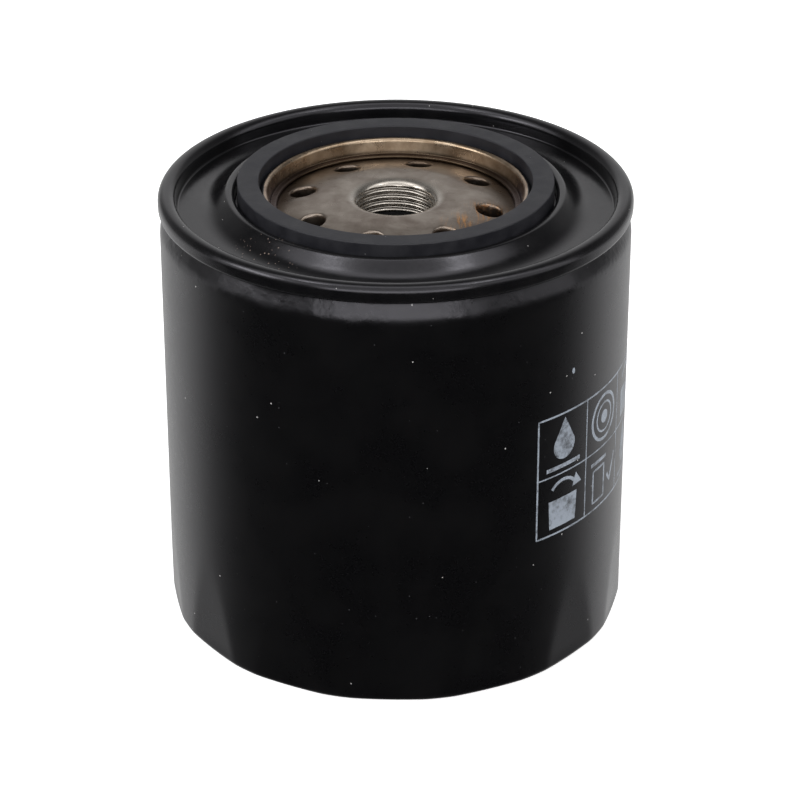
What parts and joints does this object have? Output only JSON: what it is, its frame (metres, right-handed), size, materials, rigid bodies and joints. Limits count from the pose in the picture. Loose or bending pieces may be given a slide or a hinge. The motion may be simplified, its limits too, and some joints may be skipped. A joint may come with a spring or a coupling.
{
  "type": "spin-on oil filter",
  "caption": "Spin-on engine oil filter: black steel can with wrench flats and a rolled seam, square-section gasket, thread plate with inlet holes, and a pleated element inside.",
  "frame": {"origin": "centre of the can's closed base, on the surface that the filter stands on", "axes": "+Z along the filter's axis towards the threaded end and the gasket; -Y is the side seen from the front, +X is to its right"},
  "size_m": [0.108, 0.108, 0.1063],
  "materials": {
    "can_paint": "satin black enamel over drawn steel",
    "lid_paint": "satin black enamel over pressed steel",
    "sealant": "cured sealing compound",
    "plate_steel": "bare steel with an oily brown film",
    "gasket_rubber": "matte black moulded rubber",
    "valve_rubber": "soft moulded nitrile",
    "cap_steel": "stamped zinc-coated steel",
    "potting": "cured adhesive",
    "filter_paper": "resin-treated pleated paper",
    "clip_steel": "folded tinplate",
    "tube_steel": "perforated tinplate",
    "valve_steel": "stamped zinc-coated steel",
    "spring_steel": "drawn spring wire"
  },
  "bodies": {
    "housing": {"can": "can_paint", "seaming_lid": "lid_paint", "seam_sealant": "sealant", "thread_plate": "plate_steel", "gasket": "gasket_rubber", "anti_drain_collar": "valve_rubber", "top_end_cap": "cap_steel", "top_potting": "potting", "pleated_media": "filter_paper", "media_clip": "clip_steel", "centre_tube": "tube_steel", "bottom_potting": "potting", "bottom_end_cap": "cap_steel", "bypass_seat": "valve_steel", "bypass_spring": "spring_steel", "bypass_cage": "valve_steel", "element_spring": "spring_steel"},
    "drain_flap": {"anti_drain_flap": "valve_rubber"},
    "bypass_poppet": {"bypass_seal": "valve_rubber", "bypass_disc": "valve_steel", "bypass_stem": "valve_steel"}
  },
  "joints": [
    {"name": "bypass_lift", "type": "slide", "parent": "housing", "child": "bypass_poppet", "axis": [0, 0, 1], "range_m": [0, 0.0035], "stiffness_N_per_m": 1500, "springref_m": -0.003, "deforming": ["bypass_spring"]},
    {"name": "drain_flap_open", "type": "slide", "parent": "housing", "child": "drain_flap", "axis": [0, 0, -1], "range_m": [0, 0.0015], "stiffness_N_per_m": 400, "springref_m": -0.0006}
  ]
}
